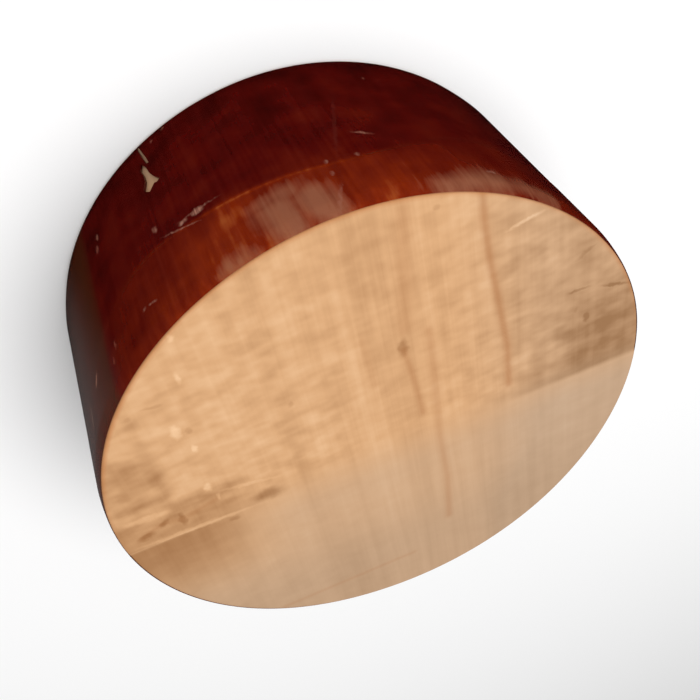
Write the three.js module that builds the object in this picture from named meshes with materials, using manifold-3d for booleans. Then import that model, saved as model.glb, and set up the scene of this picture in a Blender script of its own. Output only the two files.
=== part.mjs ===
// A thick round slice of linden, sawn from a plank and cut round, with sealing wax on its rim.
//
// Millimetres, +Z up. The slice lies on its lower face, with the origin at that face's centre.
// The grain runs along Y and the saw crossed it along X, so the saw's marks run along X.

import * as THREE from "three";
import { mergeVertices } from "three/addons/utils/BufferGeometryUtils.js";
import Module from "manifold-3d";

const wasm = await Module();
wasm.setup();

// Driving dimensions
const SLICE_DIAMETER = 220;
const SLICE_THICKNESS = 101.5;
const COAT_THICKNESS = 1.0; // one coat of wax
const SECOND_COAT = 0.5; // what the second dip adds over the first, on the end grain near the upper face

// How the wood was cut
const OUT_OF_ROUND = 0.4; // the saw's wander from a true circle, to each side
const ARRIS = 0.8; // the corner broken off round both faces
const SAW_TWIST = 0.25; // how far each cut tips out of level by the rim; the two cuts tip opposite ways
const SAW_MEETING_Y = 7; // the line along X where the two saw cuts meet

// How the wax lies
const COAT_GAP = 0.1; // between the wood and the wax, so that the two meshes stay clear of each other
const COAT_MARGIN = 1.0; // bare wood between each face and the wax
const COAT_EDGE = 0.6; // the wax's thickness at its upper and lower edges
const DIP_DEPTH = 33; // how far the second dip reaches down from the upper face
const DIP_WAVE = 6; // how far the second dip's edge strays up and down
const DIP_LIP = 2.5; // the height over which the second coat thickens
const RUN_HEIGHT = 0.18; // the ridges of wax that ran down the rim while it was hot
const FIRST_COAT_RUNS = 0.4; // the share of that height where there is only one coat

// Where a flake of wax has come away and shows the wood: a fishtail that narrows to a point below it
const FLAKE_ANGLE = THREE.MathUtils.degToRad(297.2);
const FLAKE_TOP = 34;
const FLAKE_HEIGHT = 20; // from the point to the tail's higher lobe
const FLAKE_WIDTH = 7.5; // across the tail's lobes
const FLAKE_TAIL = 8; // how far the tail reaches down before it is a stem
const FLAKE_STEM = 2.4; // the stem's width where it starts
const FLAKE_NOTCH = 2.5; // how far the notch between the lobes reaches down

// What makes the rim, the second dip's edge and the runs uneven: waves round the slice, by their number in
// a whole turn, their share of the height given above and their phase in radians
const ROUND_WAVES = [
  { count: 2, share: 0.6, phase: 0.7 },
  { count: 5, share: 0.4, phase: 2.1 },
];
const DIP_WAVES = [
  { count: 5, share: 0.85, phase: 1.83 },
  { count: 11, share: 0.15, phase: 0.4 },
];
const RUN_WAVES = [
  { count: 12, share: 0.5, phase: 0.7 },
  { count: 26, share: 0.5, phase: 1.7 },
];

// Mesh steps
const SIDES = 144;
const COAT_ROWS = 14;
const TOLERANCE = 0.1; // heights and radii closer than this count as the same
const WELD = 1e-3; // vertices closer than this become one

const outerRadius = SLICE_DIAMETER / 2;
const woodRadius = outerRadius - COAT_THICKNESS - COAT_GAP;
const coatBottom = COAT_MARGIN;
const coatTop = SLICE_THICKNESS - COAT_MARGIN;

// The sum of a list of waves at an angle round the slice.
function sumOf(waves, angle) {
  return waves.reduce((sum, wave) => sum + wave.share * Math.cos(wave.count * angle + wave.phase), 0);
}

// The rim's distance from a true circle, at an angle round the slice.
function wander(angle) {
  return OUT_OF_ROUND * sumOf(ROUND_WAVES, angle);
}

// The height of the second coat's lower edge, at an angle round the slice.
function dipLine(angle) {
  return SLICE_THICKNESS - DIP_DEPTH + DIP_WAVE * sumOf(DIP_WAVES, angle);
}

// How far the rim shows end grain at an angle: all of it where the grain runs out, at both ends of Y.
function endGrain(angle) {
  return Math.sin(angle) ** 2;
}

// The wax's thickness at an angle and a height: one coat, the second dip and the ridges of the runs.
function waxThickness(angle, height) {
  const dipped = THREE.MathUtils.smoothstep(height, dipLine(angle), dipLine(angle) + DIP_LIP);
  const second = dipped * endGrain(angle);
  const runHeight = RUN_HEIGHT * THREE.MathUtils.lerp(FIRST_COAT_RUNS, 1, second);
  return COAT_THICKNESS + SECOND_COAT * second + runHeight * sumOf(RUN_WAVES, angle);
}

// A solid of revolution about Z from points of radius and height.
function revolved(profile) {
  const points = profile.map(([radius, height]) => new THREE.Vector2(radius, height));
  return new THREE.LatheGeometry(points, SIDES).rotateX(Math.PI / 2);
}

// Moves each vertex to the radius that newRadius gives for its angle, height and radius. The axis stays.
function reshapeRadius(geometry, newRadius) {
  const position = geometry.getAttribute("position");
  for (let i = 0; i < position.count; i++) {
    const radius = Math.hypot(position.getX(i), position.getY(i));
    if (radius < TOLERANCE) continue;
    const angle = Math.atan2(position.getY(i), position.getX(i));
    const scale = newRadius(angle, position.getZ(i), radius) / radius;
    position.setXY(i, position.getX(i) * scale, position.getY(i) * scale);
  }
  return geometry;
}

function solidOf(geometry) {
  const bare = geometry.clone().deleteAttribute("normal").deleteAttribute("uv");
  const merged = mergeVertices(bare, WELD);
  const vertProperties = new Float32Array(merged.attributes.position.array);
  const triVerts = new Uint32Array(merged.index.array);
  return new wasm.Manifold(new wasm.Mesh({ numProp: 3, vertProperties, triVerts }));
}

function geometryOf(solid) {
  const { vertProperties, triVerts } = solid.getMesh();
  const geometry = new THREE.BufferGeometry();
  geometry.setAttribute("position", new THREE.BufferAttribute(vertProperties, 3));
  geometry.setIndex(new THREE.BufferAttribute(triVerts, 1));
  geometry.computeVertexNormals();
  return geometry;
}

// The block that one saw cut takes off above the slice. It covers the side of the meeting line that side
// names, and tips about the Y axis, so that it bites deeper towards one end of the meeting line.
function sawCut(side) {
  const reach = 2 * SLICE_DIAMETER;
  const height = SLICE_THICKNESS;
  const block = new THREE.BoxGeometry(reach, reach, height);
  block.translate(0, side * (reach / 2), height / 2 - SAW_TWIST);
  block.rotateY(side * Math.atan(SAW_TWIST / outerRadius));
  block.translate(0, SAW_MEETING_Y, SLICE_THICKNESS);
  return solidOf(block);
}

// The wood: a disc with broken corners, a little out of round, its upper face sawn in two cuts that meet.
function woodGeometry() {
  const disc = revolved([
    [0, 0],
    [woodRadius - ARRIS, 0],
    [woodRadius, ARRIS],
    [woodRadius, SLICE_THICKNESS - ARRIS],
    [woodRadius - ARRIS, SLICE_THICKNESS],
    [0, SLICE_THICKNESS],
  ]);
  reshapeRadius(disc, (angle, height, radius) => radius + wander(angle));
  return geometryOf(solidOf(disc).subtract(sawCut(1)).subtract(sawCut(-1)));
}

// The prism that the missing flake leaves, standing out from the axis through the rim.
function flakeCut() {
  const outline = new THREE.Shape();
  outline.moveTo(0, FLAKE_TOP - FLAKE_HEIGHT);
  outline.lineTo(FLAKE_STEM / 2, FLAKE_TOP - FLAKE_TAIL);
  outline.lineTo(FLAKE_WIDTH / 2, FLAKE_TOP - FLAKE_TAIL / 2);
  outline.lineTo(FLAKE_STEM / 2, FLAKE_TOP);
  outline.lineTo(-FLAKE_STEM / 2, FLAKE_TOP - FLAKE_NOTCH);
  outline.lineTo(-FLAKE_WIDTH / 2, FLAKE_TOP - FLAKE_NOTCH);
  outline.lineTo(-FLAKE_STEM / 2, FLAKE_TOP - FLAKE_TAIL);
  outline.closePath();
  const prism = new THREE.ExtrudeGeometry(outline, { depth: SLICE_DIAMETER, bevelEnabled: false });
  prism.rotateX(Math.PI / 2);
  prism.rotateZ(FLAKE_ANGLE + Math.PI / 2);
  return solidOf(prism);
}

// The wax: a sleeve on the rim, thin at its edges and thicker where the end grain was dipped twice.
function waxGeometry() {
  const inner = woodRadius + COAT_GAP;
  const rows = Array.from({ length: COAT_ROWS + 1 }, (_, row) =>
    THREE.MathUtils.lerp(coatBottom, coatTop, row / COAT_ROWS),
  );
  const outer = rows.map((height) => [inner + COAT_THICKNESS, height]);
  const sleeve = revolved([[inner, coatBottom], ...outer, [inner, coatTop], [inner, coatBottom]]);
  reshapeRadius(sleeve, (angle, height, radius) => {
    const wall = radius + wander(angle);
    if (radius < inner + COAT_THICKNESS / 2) return wall;
    const atEdge = height < coatBottom + TOLERANCE || height > coatTop - TOLERANCE;
    return wall - COAT_THICKNESS + (atEdge ? COAT_EDGE : waxThickness(angle, height));
  });
  return geometryOf(solidOf(sleeve).subtract(flakeCut()));
}

const linden = new THREE.MeshStandardMaterial({ color: 0xd8ac7c, roughness: 0.75, metalness: 0 });
const wax = new THREE.MeshStandardMaterial({ color: 0x5a1206, roughness: 0.35, metalness: 0 });

function named(name, geometry, material) {
  const mesh = new THREE.Mesh(geometry, material);
  mesh.name = name;
  return mesh;
}

const slice = new THREE.Group();
slice.name = "linden_slice";
slice.add(named("wood_disc", woodGeometry(), linden), named("wax_coat", waxGeometry(), wax));

export default slice;
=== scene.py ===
import math

import bpy
import numpy as np
from mathutils import Matrix, Vector


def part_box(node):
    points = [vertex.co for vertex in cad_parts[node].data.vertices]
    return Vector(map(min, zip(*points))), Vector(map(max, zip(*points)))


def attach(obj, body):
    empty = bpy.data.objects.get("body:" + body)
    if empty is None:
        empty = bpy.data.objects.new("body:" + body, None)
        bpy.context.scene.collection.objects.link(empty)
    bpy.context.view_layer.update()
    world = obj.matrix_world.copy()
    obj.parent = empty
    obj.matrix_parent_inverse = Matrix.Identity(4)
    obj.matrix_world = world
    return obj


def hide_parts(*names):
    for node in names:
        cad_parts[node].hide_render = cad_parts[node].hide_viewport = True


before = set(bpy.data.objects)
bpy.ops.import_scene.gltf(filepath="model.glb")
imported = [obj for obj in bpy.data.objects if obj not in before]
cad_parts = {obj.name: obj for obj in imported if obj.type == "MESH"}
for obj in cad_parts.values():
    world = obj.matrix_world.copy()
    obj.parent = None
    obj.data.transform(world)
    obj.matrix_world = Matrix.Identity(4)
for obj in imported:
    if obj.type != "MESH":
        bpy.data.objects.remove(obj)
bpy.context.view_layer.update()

MM = 0.001
SEED = 7

# Sizes, from the solids
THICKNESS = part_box("wood_disc")[1].z
OUTER_RADIUS = 110 * MM
COAT_THICKNESS = 1.0 * MM
COAT_GAP = 0.1 * MM
WOOD_RADIUS = OUTER_RADIUS - COAT_THICKNESS - COAT_GAP

# How the wood was cut
OUT_OF_ROUND = 0.4 * MM
ARRIS = 0.8 * MM
SAW_TWIST = 0.25 * MM
SAW_MEETING_Y = 7 * MM
SAW_STEP = 3 * MM
SAW_RELIEF = 0.015 * MM
UPPER_BAND = (40 * MM, 5 * MM)
LOWER_BAND = (45 * MM, 4.5 * MM)
GOUGE_DEPTH = 0.25 * MM
UPPER_LOOKS_DEPTH = 4 * MM
UPPER_LOOKS_FADE = 2 * MM

# How the wax lies
SECOND_COAT = 0.5 * MM
DIP_DEPTH = 33 * MM
DIP_WAVE = 6 * MM
DIP_LIP = 2.5 * MM
DIP_LINE_MIDDLE = math.radians(282)
RUN_HEIGHT = 0.18 * MM
FIRST_COAT_RUNS = 0.4
COAT_LOW = 0.7 * MM
COAT_HIGH = THICKNESS - 0.75 * MM
COAT_FEATHER = 6.0 * MM
FEATHER_POWER = 0.7
COAT_EDGE = 0.06
FLAKE_REACH = (WOOD_RADIUS - 1 * MM, OUTER_RADIUS + 4 * MM)

# Waves round the slice: their number in a turn, their share and their phase
ROUND_WAVES = ((2, 0.6, 0.7), (5, 0.4, 2.1))
DIP_WAVES = ((5, 0.85, 1.83), (11, 0.15, 0.4))
RUN_WAVES = ((12, 0.5, 0.7), (26, 0.5, 1.7))

# Mesh steps
FACE_CELLS = 200
ARRIS_STEPS = 4
COAT_COLUMNS = 720
COAT_ROWS = 96
LATTICE = 64
WOOD_SHARP_ABOVE = 60
WAX_SHARP_ABOVE = 50

# The camera, as in the photograph
PHOTO_WIDTH = 700
FOCAL_PIXELS = 859.7
CAMERA_PLACE = Vector((45.6, -264.5, 305.6)) * MM
CAMERA_AIM = Vector((7.3, -54.2, 101.5)) * MM
CAMERA_ROLL = math.radians(151.6)

# The studio: a wide floor, one soft light, and a sky by its strength above, below and low behind
FLOOR_HALF = 6.0
FLOOR_PALE = (250, 250, 250)
LIGHT_PLACE = (-0.2, -0.35, 1.35)
LIGHT_AIM = (0, 0, 0.05)
LIGHT_SIZE = 1.2
LIGHT_POWER = 18
SKY_ABOVE = 0.40
SKY_BELOW = 0.003
SKY_LOW_BEHIND = 0.11

# Colours, as red, green and blue up to 255. A ramp runs from its darkest tone to its palest
WARM_WOOD = ((0.0, (148, 100, 58)), (0.5, (205, 158, 113)), (1.0, (236, 196, 154)))
COOL_WOOD = ((0.0, (142, 112, 82)), (0.5, (183, 152, 123)), (1.0, (214, 188, 160)))
STREAK_BROWN = (160, 104, 60)
WAX_STAIN = (176, 106, 54)
RED_WAX = (
    (0.0, (46, 2, 1)),
    (0.25, (84, 6, 2)),
    (0.5, (108, 23, 3)),
    (0.75, (134, 38, 4)),
    (1.0, (168, 78, 28)),
)
# Painted shade and sheen on one side of the wax
SHADE_AND_SHEEN_BROWN = (76, 36, 14)
# A painted pale sheen on the wax
SHEEN_TAN = (158, 100, 72)
SCUFF_PALE = (170, 118, 98)


def smooth(t):
    t = np.clip(t, 0, 1)
    return t * t * (3 - 2 * t)


def waves(kinds, angle):
    return sum(share * np.cos(count * angle + phase) for count, share, phase in kinds)


def wander(angle):
    return OUT_OF_ROUND * waves(ROUND_WAVES, angle)


# Smooth noise between -1 and 1 with one lattice cell to each unit of u and v.
def lattice_noise(u, v, seed):
    lattice = np.random.default_rng(SEED + seed).uniform(-1, 1, (LATTICE, LATTICE))
    column, row = np.floor(u).astype(int), np.floor(v).astype(int)
    across, along = smooth(u - column), smooth(v - row)

    def corner(right, up):
        return lattice[(column + right) % LATTICE, (row + up) % LATTICE]

    low = corner(0, 0) * (1 - across) + corner(1, 0) * across
    high = corner(0, 1) * (1 - across) + corner(1, 1) * across
    return low * (1 - along) + high * along


# How near each place is to a stroke through points: 1 on it, fading over its width.
def stroke(x, y, points, width):
    nearest = np.full(x.shape, np.inf)
    for (x0, y0), (x1, y1) in zip(points, points[1:]):
        run, rise = x1 - x0, y1 - y0
        share = np.clip(((x - x0) * run + (y - y0) * rise) / (run * run + rise * rise), 0, 1)
        nearest = np.minimum(nearest, np.hypot(x - x0 - share * run, y - y0 - share * rise))
    return np.exp(-((nearest / width) ** 2))


# 1 inside a rectangle, fading to 0 over a distance outside it.
def zone(x, y, across, along, fade):
    outside_x = np.maximum(across[0] - x, x - across[1])
    outside_y = np.maximum(along[0] - y, y - along[1])
    return (1 - smooth(outside_x / fade)) * (1 - smooth(outside_y / fade))


# Streaks on the upper face, most of them along the grain: strength, width and points, in millimetres
DARK_STREAKS = (
    (
        0.58,
        1.6,
        ((-46, -106), (-46, -86), (-47, -71), (-48.5, -57), (-50, -43), (-51.8, -25), (-51.5, -3)),
    ),
    (0.42, 1.4, ((-11.5, -44), (-13, -33), (-14, -22), (-15, -7))),
    (0.32, 1.8, ((-21.9, -49), (-21.9, -35), (-21, -11), (-20.4, 11), (-21, 40), (-19, 68))),
    (0.24, 3.0, ((-19.3, -104), (-16.7, -85), (-15.2, -68), (-13.3, -54))),
    (0.18, 1.6, ((2.6, -56), (1.2, -32))),
    (0.22, 1.0, ((64, 86), (0, 86))),
    (0.26, 1.3, ((101, 0), (92, -3.9), (84.6, -1.7), (70, -5.5))),
)

# Marks on the upper face: strength, half width and two ends, in millimetres
DARK_MARKS = (
    (0.75, 2.4, (-11.9, -48), (-11.4, -43)),
    (0.6, 2.0, (97.0, -0.3), (101.5, 0.6)),
    (0.55, 1.6, (92.5, -2.4), (90.5, -4.2)),
    (0.65, 1.8, (84.5, -4), (84.5, 1)),
    (0.8, 4.4, (54.0, 3.4), (48.5, 4.0)),
    (0.4, 1.5, (68, 10.4), (66, 10.4)),
    (0.6, 0.9, (-77.4, -39.7), (-86.4, -39)),
    (0.7, 1.0, (-91.5, -37), (-103.5, -33)),
    (0.6, 1.6, (-85.3, -24.5), (-85.3, -22.5)),
    (0.3, 1.1, (-80.9, -30.5), (-80.9, -29)),
    (0.3, 0.9, (-80.3, -54.8), (-88.1, -58.6)),
    (0.35, 0.9, (79.3, -63), (72.7, -62.3)),
    (0.35, 1.0, (86, -61.2), (84, -61.6)),
    (0.5, 1.3, (68.3, -46.5), (68.3, -45)),
    (0.4, 1.3, (32.4, -39.5), (32.4, -38.5)),
    (0.4, 1.2, (-30.7, -99.4), (-30.2, -99.4)),
)
PALE_MARKS = (
    (0.9, 2.0, (72.6, -49.5), (72.6, -45)),
    (0.7, 1.0, (69.4, -38), (69.2, -35)),
    (0.8, 1.7, (71, -14.5), (71, -12.8)),
    (0.6, 0.9, (69, -8), (69, -5)),
    (0.7, 1.0, (64.4, -72.5), (64.2, -68.5)),
    (0.6, 1.3, (61.3, -88.5), (61.3, -87)),
    (0.8, 0.9, (-53.9, -79.8), (-67.8, -82.1)),
    (0.5, 2.0, (105, -10.9), (88, -9)),
    (0.4, 1.1, (67, -9), (45, -4)),
    (0.6, 1.6, (104, 5), (60, 7.8)),
    (0.35, 4.5, (-73, -16), (-72.5, -9)),
    (0.35, 3.0, (-70.8, -67), (-70.8, -60)),
    (0.30, 4.0, (-58.6, -20), (-58.6, -10)),
)
# Chips that the saw tore out along the meeting line: strength, width and points, in millimetres
GOUGES = (
    (0.8, 1.8, ((97, 0.3), (102, 0))),
    (0.6, 1.5, ((84.5, -1), (84.5, -4))),
    (1.0, 2.2, ((50, 4.8), (54, 5.2))),
)


def strokes(x, y, marks):
    total = np.zeros(x.shape)
    for strength, width, points in marks:
        total = np.maximum(total, strength * stroke(x, y, points, width))
    return total


# How streaked, shaded, sawn, grainy, warm and stained the upper face is, at places in millimetres.
def face_looks(x, y):
    behind = smooth((y - SAW_MEETING_Y / MM + 1.5) / 3)
    front = 1 - behind
    shaded = (
        0.80 * front * smooth((-60 - x) / 20) * smooth((y + 62) / 50),
        0.45 * front * smooth((-42 - x) / 20) * smooth((y + 6) / 9),
        0.40 * zone(x, y, (86, 103), (-42, -18), 6),
        0.32 * front * smooth((-46 - x) / 14),
        0.55 * front * smooth((x - 42) / 30) * smooth((y + 18) / 12),
        0.22 * smooth((y - 30) / 50),
        0.85 * behind * smooth((x - 48) / 38) * (1 - smooth((y - 10) / 55)),
        0.20 * smooth((y - 85) / 3) * smooth((x - 2) / 30),
    )
    left = smooth((x - 40) / 40) * (1 - smooth((y - 20) / 40))
    warm = 0.95 - 0.45 * smooth((-x - 25) / 50) - 0.55 * smooth((y + 5) / 30) * (1 - 0.8 * left)
    warm = warm - 0.25 * smooth((y - 30) / 50)
    border = WOOD_RADIUS / MM - np.hypot(x, y)
    middle = np.exp(-(((x + 10) / 30) ** 2))
    wide_middle = np.exp(-(((x + 15) / 42) ** 2))
    return {
        "streaked": strokes(x, y, DARK_STREAKS),
        "shaded": np.max(shaded, axis=0),
        "sawn": (0.25 + 0.75 * (1 - smooth((y + 5) / 14))) * (1 - 0.45 * middle),
        "grainy": (0.55 + 0.45 * wide_middle) * (1 - 0.25 * behind),
        "warm": np.clip(warm, 0, 1),
        "stained": (1 - smooth(border / 1.6)) * (0.1 + 0.5 * smooth(-y / 60)),
    }


# The looks of the lower face, which has no marks of its own
LOWER_LOOKS = {"sawn": 0.7, "grainy": 0.8, "warm": 0.2}


# The upper face's height above its level: two tipped saw cuts, bands across the grain and gouges.
def face_relief(x, y):
    side = 2 * smooth((y - SAW_MEETING_Y) / SAW_STEP + 0.5) - 1
    tipped = -SAW_TWIST - side * x * SAW_TWIST / OUTER_RADIUS
    looks = face_looks(x / MM, y / MM)
    bands = lattice_noise(x / UPPER_BAND[0], y / UPPER_BAND[1], 1)
    gouges = strokes(x / MM, y / MM, GOUGES)
    return tipped + SAW_RELIEF * looks["sawn"] * bands - GOUGE_DEPTH * gouges


# The lower face's height above the floor: it touches the floor, and its saw bands are hollows.
def lower_relief(x, y):
    bands = lattice_noise(x / LOWER_BAND[0], y / LOWER_BAND[1], 3)
    return SAW_RELIEF * np.clip(bands, 0, 1)


def mesh_object(name, points, faces, material):
    mesh = bpy.data.meshes.new(name)
    mesh.from_pydata(points.tolist(), [], faces.tolist())
    mesh.validate()
    mesh.materials.append(material)
    piece = bpy.data.objects.new(name, mesh)
    bpy.context.scene.collection.objects.link(piece)
    return piece


def shade(piece, sharp_above):
    piece.data.shade_smooth()
    piece.data.set_sharp_from_angle(angle=math.radians(sharp_above))


def places(piece):
    found = np.zeros(len(piece.data.vertices) * 3)
    piece.data.vertices.foreach_get("co", found)
    return found.reshape(-1, 3).T


def set_looks(piece, looks):
    for name, values in looks.items():
        attribute = piece.data.attributes.new(name, "FLOAT", "POINT")
        attribute.data.foreach_set("value", values.astype(np.float32))


# A unit disc as a square grid bent round: its points, its quads, and its border's points in turn.
def disc_grid(cells):
    side = np.linspace(-1, 1, cells + 1)
    a, b = (grid.ravel() for grid in np.meshgrid(side, side))
    wide = np.abs(a) > np.abs(b)
    radius = np.where(wide, a, b)
    long_side = np.where(radius == 0, 1, radius)
    angle = np.where(wide, math.pi / 4 * b / long_side, math.pi / 2 - math.pi / 4 * a / long_side)
    x, y = radius * np.cos(angle), radius * np.sin(angle)
    index = np.arange((cells + 1) ** 2).reshape(cells + 1, cells + 1)
    corners = (index[:-1, :-1], index[:-1, 1:], index[1:, 1:], index[1:, :-1])
    quads = np.stack(corners, -1).reshape(-1, 4)
    border = np.flatnonzero(np.maximum(np.abs(a), np.abs(b)) == 1)
    return x, y, quads, border[np.argsort(np.arctan2(y[border], x[border]))]


# The quads between two closed rows of points, the second row lying to the left of the first's run.
def band(first, second):
    return np.stack([first, np.roll(first, -1), np.roll(second, -1), second], -1)


# The wood: two sawn faces, joined by rounded corners and the rim under the wax.
def wood_disc(material):
    unit_x, unit_y, quads, border = disc_grid(FACE_CELLS)
    angle = np.arctan2(unit_y, unit_x)
    reach = WOOD_RADIUS - ARRIS + wander(angle)
    x, y = unit_x * reach, unit_y * reach
    upper = np.stack([x, y, THICKNESS + face_relief(x, y)], -1)
    lower = np.stack([x, y, lower_relief(x, y)], -1)
    points, faces = [lower, upper], [quads[:, ::-1], quads + len(upper)]
    turn = np.linspace(0, math.pi / 2, ARRIS_STEPS + 1)[1:]
    corners = [(lower[border], 1, t) for t in turn] + [(upper[border], -1, t) for t in turn[::-1]]
    count = 2 * len(upper)
    row = border
    for edge, up, t in corners:
        out = ARRIS * math.sin(t)
        rim = np.hypot(edge[:, 0], edge[:, 1])
        ring = edge * np.stack([1 + out / rim, 1 + out / rim, np.ones(len(rim))], -1)
        ring[:, 2] += up * ARRIS * (1 - math.cos(t))
        points.append(ring)
        next_row = np.arange(count, count + len(ring))
        faces.append(band(row, next_row))
        row, count = next_row, count + len(ring)
    faces.append(band(row, border + len(upper)))
    piece = mesh_object("wood_slice", np.concatenate(points), np.concatenate(faces), material)
    shade(piece, WOOD_SHARP_ABOVE)
    x, y, z = places(piece)
    upper = smooth((z - THICKNESS + UPPER_LOOKS_DEPTH) / UPPER_LOOKS_FADE)
    looks = {name: values * upper for name, values in face_looks(x / MM, y / MM).items()}
    for name, value in LOWER_LOOKS.items():
        looks[name] += value * (1 - upper)
    set_looks(piece, looks | {"upper": upper})
    return piece


# How far the rim shows end grain at an angle: all of it at both ends of Y.
def end_grain(angle):
    return np.sin(angle) ** 2


def dip_line(angle):
    return THICKNESS - DIP_DEPTH + DIP_WAVE * waves(DIP_WAVES, angle)


# The wax's thickness at an angle and a height, thin at both edges.
def wax_thickness(angle, height):
    second = end_grain(angle) * smooth((height - dip_line(angle)) / DIP_LIP)
    runs = RUN_HEIGHT * (FIRST_COAT_RUNS + (1 - FIRST_COAT_RUNS) * second) * waves(RUN_WAVES, angle)
    full = COAT_THICKNESS + SECOND_COAT * second + runs
    from_edge = np.minimum(height - COAT_LOW, COAT_HIGH - height) / COAT_FEATHER
    return full * (COAT_EDGE + (1 - COAT_EDGE) * np.clip(from_edge, 0, 1) ** FEATHER_POWER)


# Scuffs on the wax: strength, half width in millimetres, and two ends, in degrees round the slice and
# millimetres below the face
SCUFFS = (
    (0.35, 0.70, (294.8, 39.3), (286.4, 37.6)),
    (1.00, 1.70, (291.2, 38.2), (290.4, 37.8)),
    (0.80, 1.30, (294.3, 38.1), (293.7, 37.9)),
    (0.50, 0.65, (298.5, 39.1), (291.0, 31.8)),
    (0.55, 1.10, (299.8, 47.2), (299.6, 45.4)),
    (0.35, 1.00, (291.0, 98.5), (291.0, 97.5)),
    (0.30, 0.80, (294.0, 95.5), (294.0, 94.5)),
    (0.60, 1.00, (313.9, 79.5), (313.9, 77.0)),
    (0.60, 1.10, (314.8, 74.0), (314.8, 71.5)),
    (0.45, 0.80, (303.9, 15.2), (305.5, 16.5)),
    (0.30, 1.00, (306.8, 17.6), (306.9, 17.0)),
    (0.30, 0.80, (267.4, 14.0), (269.9, 2.0)),
    (0.04, 0.90, (258.7, 70.0), (265.1, 31.0)),
    (0.40, 0.90, (267.4, 29.6), (267.5, 28.0)),
    (0.35, 0.80, (267.7, 21.5), (267.7, 20.0)),
    (0.42, 0.90, (259.8, 42.6), (257.0, 39.7)),
    (0.40, 0.90, (261.8, 28.8), (261.8, 27.8)),
    (0.60, 1.10, (240.3, 12.9), (239.3, 12.9)),
    (0.25, 0.70, (249.9, 83.6), (249.9, 82.6)),
    (0.25, 0.70, (232.1, 66.5), (232.1, 65.0)),
    (0.35, 0.70, (316.4, 22.0), (316.4, 18.5)),
    (0.35, 0.70, (317.9, 16.5), (317.9, 13.8)),
    (0.70, 1.00, (325.2, 24.5), (326.8, 20.5)),
    (0.70, 1.00, (332.2, 22.0), (333.0, 14.5)),
)
# Painted sheen, a pale reflection painted on the wax near the face: strength, width in millimetres, and a
# stroke's points in degrees round the slice and millimetres below the face
PAINTED_SHEEN = (
    (1.0, 8.0, ((271, 3), (273, 13))),
    (1.0, 9.0, ((278, 3), (279, 15))),
    (0.8, 7.0, ((280, 20), (276, 20))),
    (0.7, 5.0, ((285, 2), (290, 3))),
    (0.9, 8.0, ((251, 2), (245, 5), (240, 7))),
    (0.7, 7.0, ((240, 7), (234, 6), (229, 4))),
)
# Painted light: wax painted brighter and more orange, given in the same way
BRIGHT = (
    (0.05, 9.0, ((262, 4), (263, 32))),
    (0.18, 7.0, ((287, 24), (284, 30))),
)


def rim_place(degrees):
    return degrees * math.tau / 360 * OUTER_RADIUS / MM


# A rim stroke's points in millimetres, from degrees round the slice and millimetres below the face.
def on_rim(marks):
    placed = []
    for strength, width, points in marks:
        placed.append((strength, width, [(rim_place(degrees), below) for degrees, below in points]))
    return placed


# Painted light and shade on the wax: paler and orange towards the face and along the dip line (the coat
# is also thin at the face edge), darker low down, a pale sheen, and browner on one side.
def wax_looks(angle, height):
    degrees = np.degrees(angle) % 360
    around = rim_place(degrees)
    below = (THICKNESS - height) / MM
    dip = (height - dip_line(angle)) / MM
    second = np.abs(np.cos(angle - DIP_LINE_MIDDLE)) ** 12
    # Painted highlight: a paler strip and lip just above the dip line, strongest near 282 degrees
    ridge = np.exp(-(((dip - 1.2) / 1.2) ** 2))
    strip = 0.22 * second * smooth((dip + 1.5) / 3) + 0.28 * second * ridge
    # Painted light: the wax paler towards the face, as lit from above, more where the end grain shows;
    # the coat is also thin at the face edge
    glow = 0.26 * (1 - smooth(below / 48)) + 0.10 * np.exp(-below / 8)
    glow = glow * (0.55 + 0.45 * end_grain(angle) ** 2)
    bright = strokes(around, below, on_rim(BRIGHT))
    return {
        "painted_light_and_thin_wax": strip + glow + bright,
        # Painted shade: the wax darker towards the floor
        "low": smooth((below - 55) / 45),
        # Painted sheen: a pale reflection near the face
        "painted_sheen": strokes(around, below, on_rim(PAINTED_SHEEN)),
        # Painted shade and sheen: the wax browner between 317 and 340 degrees
        "side_shade_and_sheen": smooth((degrees - 317) / 4) * (1 - smooth((degrees - 340) / 20)),
    }


# Where flakes of wax have come away: outlines, in degrees round the slice and millimetres above the floor
FISHTAIL = (
    (297.9, 14), (298.4, 18), (298.1, 22), (298.2, 26), (299.1, 30), (298.7, 32.4), (298, 34),
    (297.3, 32.8), (296.5, 31.4), (295.9, 32.1), (295.2, 31.4), (296, 28), (296.7, 24), (297.1, 18),
)
SLIVER = (
    (297.6, 1.5), (297.4, 6), (297.1, 11), (296.6, 17),
    (296.1, 17.4), (296.3, 13), (296.8, 7), (297.2, 2),
)
FLAKES = (FISHTAIL, SLIVER)


def flake_cutter(outline):
    points = []
    for radius in FLAKE_REACH:
        for degrees, height in outline:
            a = math.radians(degrees)
            points.append((radius * math.cos(a), radius * math.sin(a), height * MM))
    sides = len(outline)
    mesh = bpy.data.meshes.new("flake")
    walls = [(i, (i + 1) % sides, sides + (i + 1) % sides, sides + i) for i in range(sides)]
    mesh.from_pydata(points, [], walls + [tuple(range(sides))[::-1], tuple(range(sides, 2 * sides))])
    cutter = bpy.data.objects.new("flake", mesh)
    bpy.context.scene.collection.objects.link(cutter)
    return cutter


def cut_flakes(piece):
    for outline in FLAKES:
        cutter = flake_cutter(outline)
        cut = piece.modifiers.new("flake", "BOOLEAN")
        cut.operation = "DIFFERENCE"
        cut.solver = "EXACT"
        cut.object = cutter
        bpy.context.view_layer.update()
        shown = piece.evaluated_get(bpy.context.evaluated_depsgraph_get())
        cut_mesh = bpy.data.meshes.new_from_object(shown)
        piece.modifiers.clear()
        piece.data = cut_mesh
        bpy.data.objects.remove(cutter)


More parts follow.
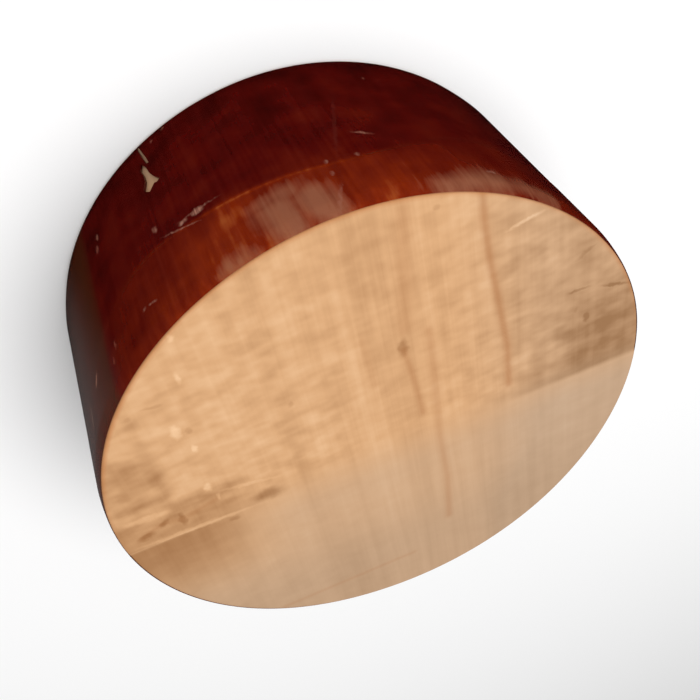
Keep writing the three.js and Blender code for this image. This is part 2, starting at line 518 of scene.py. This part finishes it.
# The wax: a sleeve round the wood, thicker where it was dipped twice, with flakes missing.
def wax_coat(material):
    angle = np.arange(COAT_COLUMNS) * math.tau / COAT_COLUMNS
    inner = WOOD_RADIUS + COAT_GAP + wander(angle)
    rows = []
    for height in np.linspace(COAT_LOW, COAT_HIGH, COAT_ROWS + 1):
        rows.append((inner + wax_thickness(angle, np.full(COAT_COLUMNS, height)), height))
    rows += [(inner, COAT_HIGH), (inner, COAT_LOW)]
    points = []
    for radius, height in rows:
        level = np.full(COAT_COLUMNS, height)
        points.append(np.stack([radius * np.cos(angle), radius * np.sin(angle), level], -1))
    index = np.arange(len(rows) * COAT_COLUMNS).reshape(len(rows), COAT_COLUMNS)
    faces = [band(row, following) for row, following in zip(index, np.roll(index, -1, axis=0))]
    piece = mesh_object("wax_sleeve", np.concatenate(points), np.concatenate(faces), material)
    cut_flakes(piece)
    shade(piece, WAX_SHARP_ABOVE)
    x, y, z = places(piece)
    set_looks(piece, wax_looks(np.arctan2(y, x), z))
    return piece


def linear(red, green, blue):
    parts = (value / 255 for value in (red, green, blue))
    return tuple(p / 12.92 if p <= 0.04045 else ((p + 0.055) / 1.055) ** 2.4 for p in parts) + (1.0,)


# A node tree. Each call adds one node, feeds it and returns its output.
class Nodes:
    def __init__(self, owner):
        owner.use_nodes = True
        self.tree = owner.node_tree

    def feed(self, socket, value):
        if isinstance(value, bpy.types.NodeSocket):
            self.tree.links.new(value, socket)
        else:
            socket.default_value = value

    def add(self, kind, inputs, output=0, **settings):
        node = self.tree.nodes.new(kind)
        for name, value in settings.items():
            setattr(node, name, value)
        for socket, value in inputs.items():
            self.feed(node.inputs[socket], value)
        return node.outputs[output]


# A material's node tree.
class Shader(Nodes):
    # The sockets of a node that mixes colours
    FACTOR, FIRST, SECOND, MIXED = 0, 6, 7, 2

    def __init__(self, name):
        self.material = bpy.data.materials.new(name)
        super().__init__(self.material)
        self.surface = self.tree.nodes["Principled BSDF"]

    def attribute(self, name):
        return self.add("ShaderNodeAttribute", {}, "Fac", attribute_name=name)

    # Noise whose features measure about size, in millimetres along X, Y and Z.
    def noise(self, size, detail=3.0, shift=0.0):
        place = self.add("ShaderNodeTexCoord", {}, "Object")
        scale = [1 / (length * MM) for length in size]
        stretch = {"Vector": place, "Scale": scale, "Location": (shift,) * 3}
        stretched = self.add("ShaderNodeMapping", stretch)
        texture = {"Vector": stretched, "Scale": 1.0, "Detail": detail}
        return self.add("ShaderNodeTexNoise", texture, "Fac")

    def math(self, operation, first, second=0.0, third=0.0):
        return self.add("ShaderNodeMath", {0: first, 1: second, 2: third}, operation=operation)

    def scaled(self, value, low, high):
        ends = {"Value": value, "From Min": 0.0, "From Max": 1.0, "To Min": low, "To Max": high}
        return self.add("ShaderNodeMapRange", ends, clamp=False)

    def ramp(self, value, stops):
        node = self.tree.nodes.new("ShaderNodeValToRGB")
        elements = node.color_ramp.elements
        while len(elements) < len(stops):
            elements.new(0.5)
        for element, (position, colour) in zip(elements, stops):
            element.position = position
            element.color = linear(*colour)
        self.feed(node.inputs["Fac"], value)
        return node.outputs["Color"]

    # A place with a little wandering added, in millimetres, so that marks have uneven edges.
    def uneven(self, place, size, amount):
        texture = {"Vector": place, "Scale": 1 / size, "Detail": 2.0}
        stray = self.add("ShaderNodeTexNoise", texture, "Color")
        stray = self.add("ShaderNodeVectorMath", {0: stray, 1: (0.5, 0.5, 0.5)}, operation="SUBTRACT")
        moved = {0: stray, 1: (amount, amount, 0), 2: place}
        return self.add("ShaderNodeVectorMath", moved, operation="MULTIPLY_ADD")

    # Marks between two ends, at a place in millimetres: each has its strength inside and a soft edge.
    def marks(self, place, marks):
        total = 0.0
        for strength, half_width, start, end in marks:
            run = Vector(end) - Vector(start)
            middle = (Vector(end) + Vector(start)) / 2
            frame_of_mark = {
                "Vector": place,
                "Location": (*middle, 0),
                "Rotation": (0, 0, math.atan2(run.y, run.x)),
                "Scale": (run.length / 2 + half_width, half_width, 1),
            }
            local = self.add("ShaderNodeMapping", frame_of_mark, vector_type="TEXTURE")
            away = self.add("ShaderNodeVectorMath", {0: local}, "Value", operation="LENGTH")
            fade = {"Value": away, "From Min": 0.3, "From Max": 1.25, "To Min": strength, "To Max": 0.0}
            mark = self.add("ShaderNodeMapRange", fade, interpolation_type="SMOOTHSTEP")
            total = self.math("MAXIMUM", mark, total)
        return total

    # The first colour, changed by an amount towards the second.
    def mix(self, amount, first, second):
        inputs = {self.FACTOR: amount, self.FIRST: first, self.SECOND: second}
        return self.add("ShaderNodeMix", inputs, self.MIXED, data_type="RGBA")

    def bump(self, height, distance, strength):
        inputs = {"Height": height, "Distance": distance, "Strength": strength}
        return self.add("ShaderNodeBump", inputs)


# Bare linden: pale, with grain along Y, saw bands along X, and tones that vary over the face.
def linden():
    s = Shader("linden_wood")
    fine = s.noise((0.9, 30, 6), 2.0)
    streak = s.noise((5, 130, 20), 2.0, 3.1)
    broad = s.noise((17, 300, 60), 1.5, 7.7)
    bands = s.noise((32, 7, 30), 1.0, 1.3)
    patches = s.noise((10, 7, 20), 1.5, 5.9)
    flecks = s.noise((4.5, 2.2, 20), 0.5, 8.3)
    grain = s.math("ADD", s.scaled(fine, -0.05, 0.05), s.scaled(streak, -0.20, 0.20))
    grain = s.math("ADD", grain, s.scaled(broad, -0.20, 0.20))
    sawing = s.math("ADD", s.scaled(bands, -0.10, 0.10), s.scaled(patches, -0.26, 0.26))
    sawing = s.math("ADD", sawing, s.scaled(flecks, -0.07, 0.07))
    grain = s.math("MULTIPLY", grain, s.attribute("grainy"))
    tone = s.math("MULTIPLY_ADD", sawing, s.attribute("sawn"), grain)
    tone = s.math("ADD", tone, 0.5)
    tone = s.math("MULTIPLY_ADD", s.attribute("shaded"), -0.48, tone)
    place = s.add("ShaderNodeTexCoord", {}, "Object")
    place = s.add("ShaderNodeVectorMath", {0: place, 1: (1 / MM, 1 / MM, 0)}, operation="MULTIPLY")
    place = s.uneven(place, 3.0, 2.5)
    marks = s.math("SUBTRACT", s.marks(place, PALE_MARKS), s.marks(place, DARK_MARKS))
    marks = s.math("MULTIPLY", marks, s.attribute("upper"))
    tone = s.math("MULTIPLY_ADD", marks, 0.36, tone)
    colour = s.mix(s.attribute("warm"), s.ramp(tone, COOL_WOOD), s.ramp(tone, WARM_WOOD))
    colour = s.mix(s.attribute("streaked"), colour, linear(*STREAK_BROWN))
    colour = s.mix(s.attribute("stained"), colour, linear(*WAX_STAIN))
    s.feed(s.surface.inputs["Base Color"], colour)
    s.surface.inputs["Roughness"].default_value = 0.75
    s.surface.inputs["Specular IOR Level"].default_value = 0.2
    s.feed(s.surface.inputs["Normal"], s.bump(s.math("ADD", fine, flecks), 0.02 * MM, 0.3))
    return s.material


# Sealing wax: deep red, orange where it is thin and where light is painted towards the face, with painted
# shade low down, browner painted shade and sheen on one side, a painted pale sheen near the face, scuffs
# in places, and runs.
def sealing_wax():
    s = Shader("sealing_wax")
    runs = s.noise((1.8, 1.8, 60), 3.0)
    fine = s.noise((0.7, 0.7, 12), 2.0, 4.4)
    cloud = s.noise((15, 15, 13), 3.0, 2.2)
    veins = s.noise((3, 3, 20), 2.0, 6.5)
    tone = s.math("ADD", s.scaled(runs, -0.12, 0.12), s.scaled(cloud, -0.28, 0.28))
    tone = s.math("ADD", tone, 0.24)
    # Painted light: the wax paler and more orange towards the face and along the dip line, and thin at
    # the face edge too
    painted_light_and_thin_wax = s.attribute("painted_light_and_thin_wax")
    tone = s.math("ADD", tone, s.math("MULTIPLY", painted_light_and_thin_wax, s.scaled(veins, 0.4, 1.6)))
    # Painted shade: the wax darker towards the floor
    tone = s.math("MULTIPLY_ADD", s.attribute("low"), -0.08, tone)
    colour = s.ramp(tone, RED_WAX)
    # Painted shade and sheen: browner wax on one side
    side_shade_and_sheen = s.math("ADD", s.scaled(s.attribute("side_shade_and_sheen"), -0.35, 0.75), s.scaled(runs, -0.45, 0.45))
    side_shade_and_sheen = s.add("ShaderNodeClamp", {"Value": side_shade_and_sheen, "Min": 0.0, "Max": 0.9})
    colour = s.mix(side_shade_and_sheen, colour, linear(*SHADE_AND_SHEEN_BROWN))
    # Painted sheen: a pale reflection mixed in near the face
    painted_sheen = s.math("ADD", s.scaled(s.attribute("painted_sheen"), -0.30, 0.75), s.scaled(runs, -0.40, 0.40))
    painted_sheen = s.math("ADD", painted_sheen, s.scaled(cloud, -0.35, 0.35))
    painted_sheen = s.add("ShaderNodeClamp", {"Value": painted_sheen, "Min": 0.0, "Max": 0.75})
    colour = s.mix(painted_sheen, colour, linear(*SHEEN_TAN))
    place = s.add("ShaderNodeTexCoord", {}, "Object")
    split = s.tree.nodes.new("ShaderNodeSeparateXYZ")
    s.feed(split.inputs[0], place)
    angle = s.math("ARCTAN2", split.outputs["Y"], split.outputs["X"])
    around = s.math("MULTIPLY", angle, OUTER_RADIUS / MM)
    below = s.math("MULTIPLY_ADD", split.outputs["Z"], -1 / MM, THICKNESS / MM)
    place = s.uneven(s.add("ShaderNodeCombineXYZ", {0: around, 1: below}), 2.0, 1.8)
    scuffs = []
    for strength, half_width, *ends in SCUFFS:
        placed = [(rim_place(degrees - 360), depth) for degrees, depth in ends]
        scuffs.append((strength, half_width, *placed))
    scuffed = s.math("MULTIPLY", s.marks(place, scuffs), s.scaled(fine, -0.6, 2.2))
    colour = s.mix(scuffed, colour, linear(*SCUFF_PALE))
    s.feed(s.surface.inputs["Base Color"], colour)
    s.feed(s.surface.inputs["Roughness"], s.scaled(runs, 0.08, 0.26))
    s.surface.inputs["Specular IOR Level"].default_value = 0.35
    return s.material


def plain(name, colour, roughness):
    s = Shader(name)
    s.surface.inputs["Base Color"].default_value = colour
    s.surface.inputs["Roughness"].default_value = roughness
    return s.material


# A wide pale floor, which shows in no reflection, so that the wax keeps its deep colour.
def floor():
    corners = FLOOR_HALF * np.array([(-1, -1, 0), (1, -1, 0), (1, 1, 0), (-1, 1, 0)])
    pale = plain("floor", linear(*FLOOR_PALE), 0.9)
    piece = mesh_object("floor", corners, np.array([(0, 1, 2, 3)]), pale)
    piece.visible_glossy = False


def area_light(name, place, aim, size, power):
    light = bpy.data.lights.new(name, "AREA")
    light.shape = "DISK"
    light.size = size
    light.energy = power
    lamp = bpy.data.objects.new(name, light)
    lamp.location = place
    lamp.rotation_euler = (Vector(aim) - Vector(place)).to_track_quat("-Z", "Y").to_euler()
    bpy.context.scene.collection.objects.link(lamp)


# Even light from above, and little from below, most of it towards +X and +Y.
def sky():
    world = bpy.data.worlds.new("sky")
    bpy.context.scene.world = world
    s = Nodes(world)
    direction = s.add("ShaderNodeTexCoord", {}, "Generated")

    def towards(axis):
        return s.add("ShaderNodeVectorMath", {0: direction, 1: axis}, "Value", operation="DOT_PRODUCT")

    behind = {"Value": towards((0.6, 0.6, 0)), "From Min": 0.46, "From Max": 0.6}
    behind |= {"To Min": SKY_BELOW, "To Max": SKY_LOW_BEHIND}
    low = s.add("ShaderNodeMapRange", behind, interpolation_type="SMOOTHSTEP")
    above = {"Value": towards((0, 0, 1)), "From Min": -0.1, "From Max": 0.3}
    above |= {"To Min": low, "To Max": SKY_ABOVE}
    s.feed(s.tree.nodes["Background"].inputs["Strength"], s.add("ShaderNodeMapRange", above))
    s.tree.nodes["Background"].inputs["Color"].default_value = (1, 1, 1, 1)


def camera():
    lens = bpy.data.cameras.new("camera")
    lens.sensor_width = 36.0
    lens.lens = lens.sensor_width * FOCAL_PIXELS / PHOTO_WIDTH
    lens.clip_start = 0.01
    viewer = bpy.data.objects.new("camera", lens)
    aimed = (CAMERA_AIM - CAMERA_PLACE).to_track_quat("-Z", "Y").to_matrix().to_4x4()
    rolled = Matrix.Rotation(CAMERA_ROLL, 4, "Z")
    viewer.matrix_world = Matrix.Translation(CAMERA_PLACE) @ aimed @ rolled
    bpy.context.scene.collection.objects.link(viewer)
    bpy.context.scene.camera = viewer


camera()
floor()
sky()
area_light("key", LIGHT_PLACE, LIGHT_AIM, LIGHT_SIZE, LIGHT_POWER)
bpy.context.scene.view_settings.view_transform = "Standard"

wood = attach(wood_disc(linden()), "root")
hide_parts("wood_disc")

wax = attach(wax_coat(sealing_wax()), "root")
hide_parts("wax_coat")
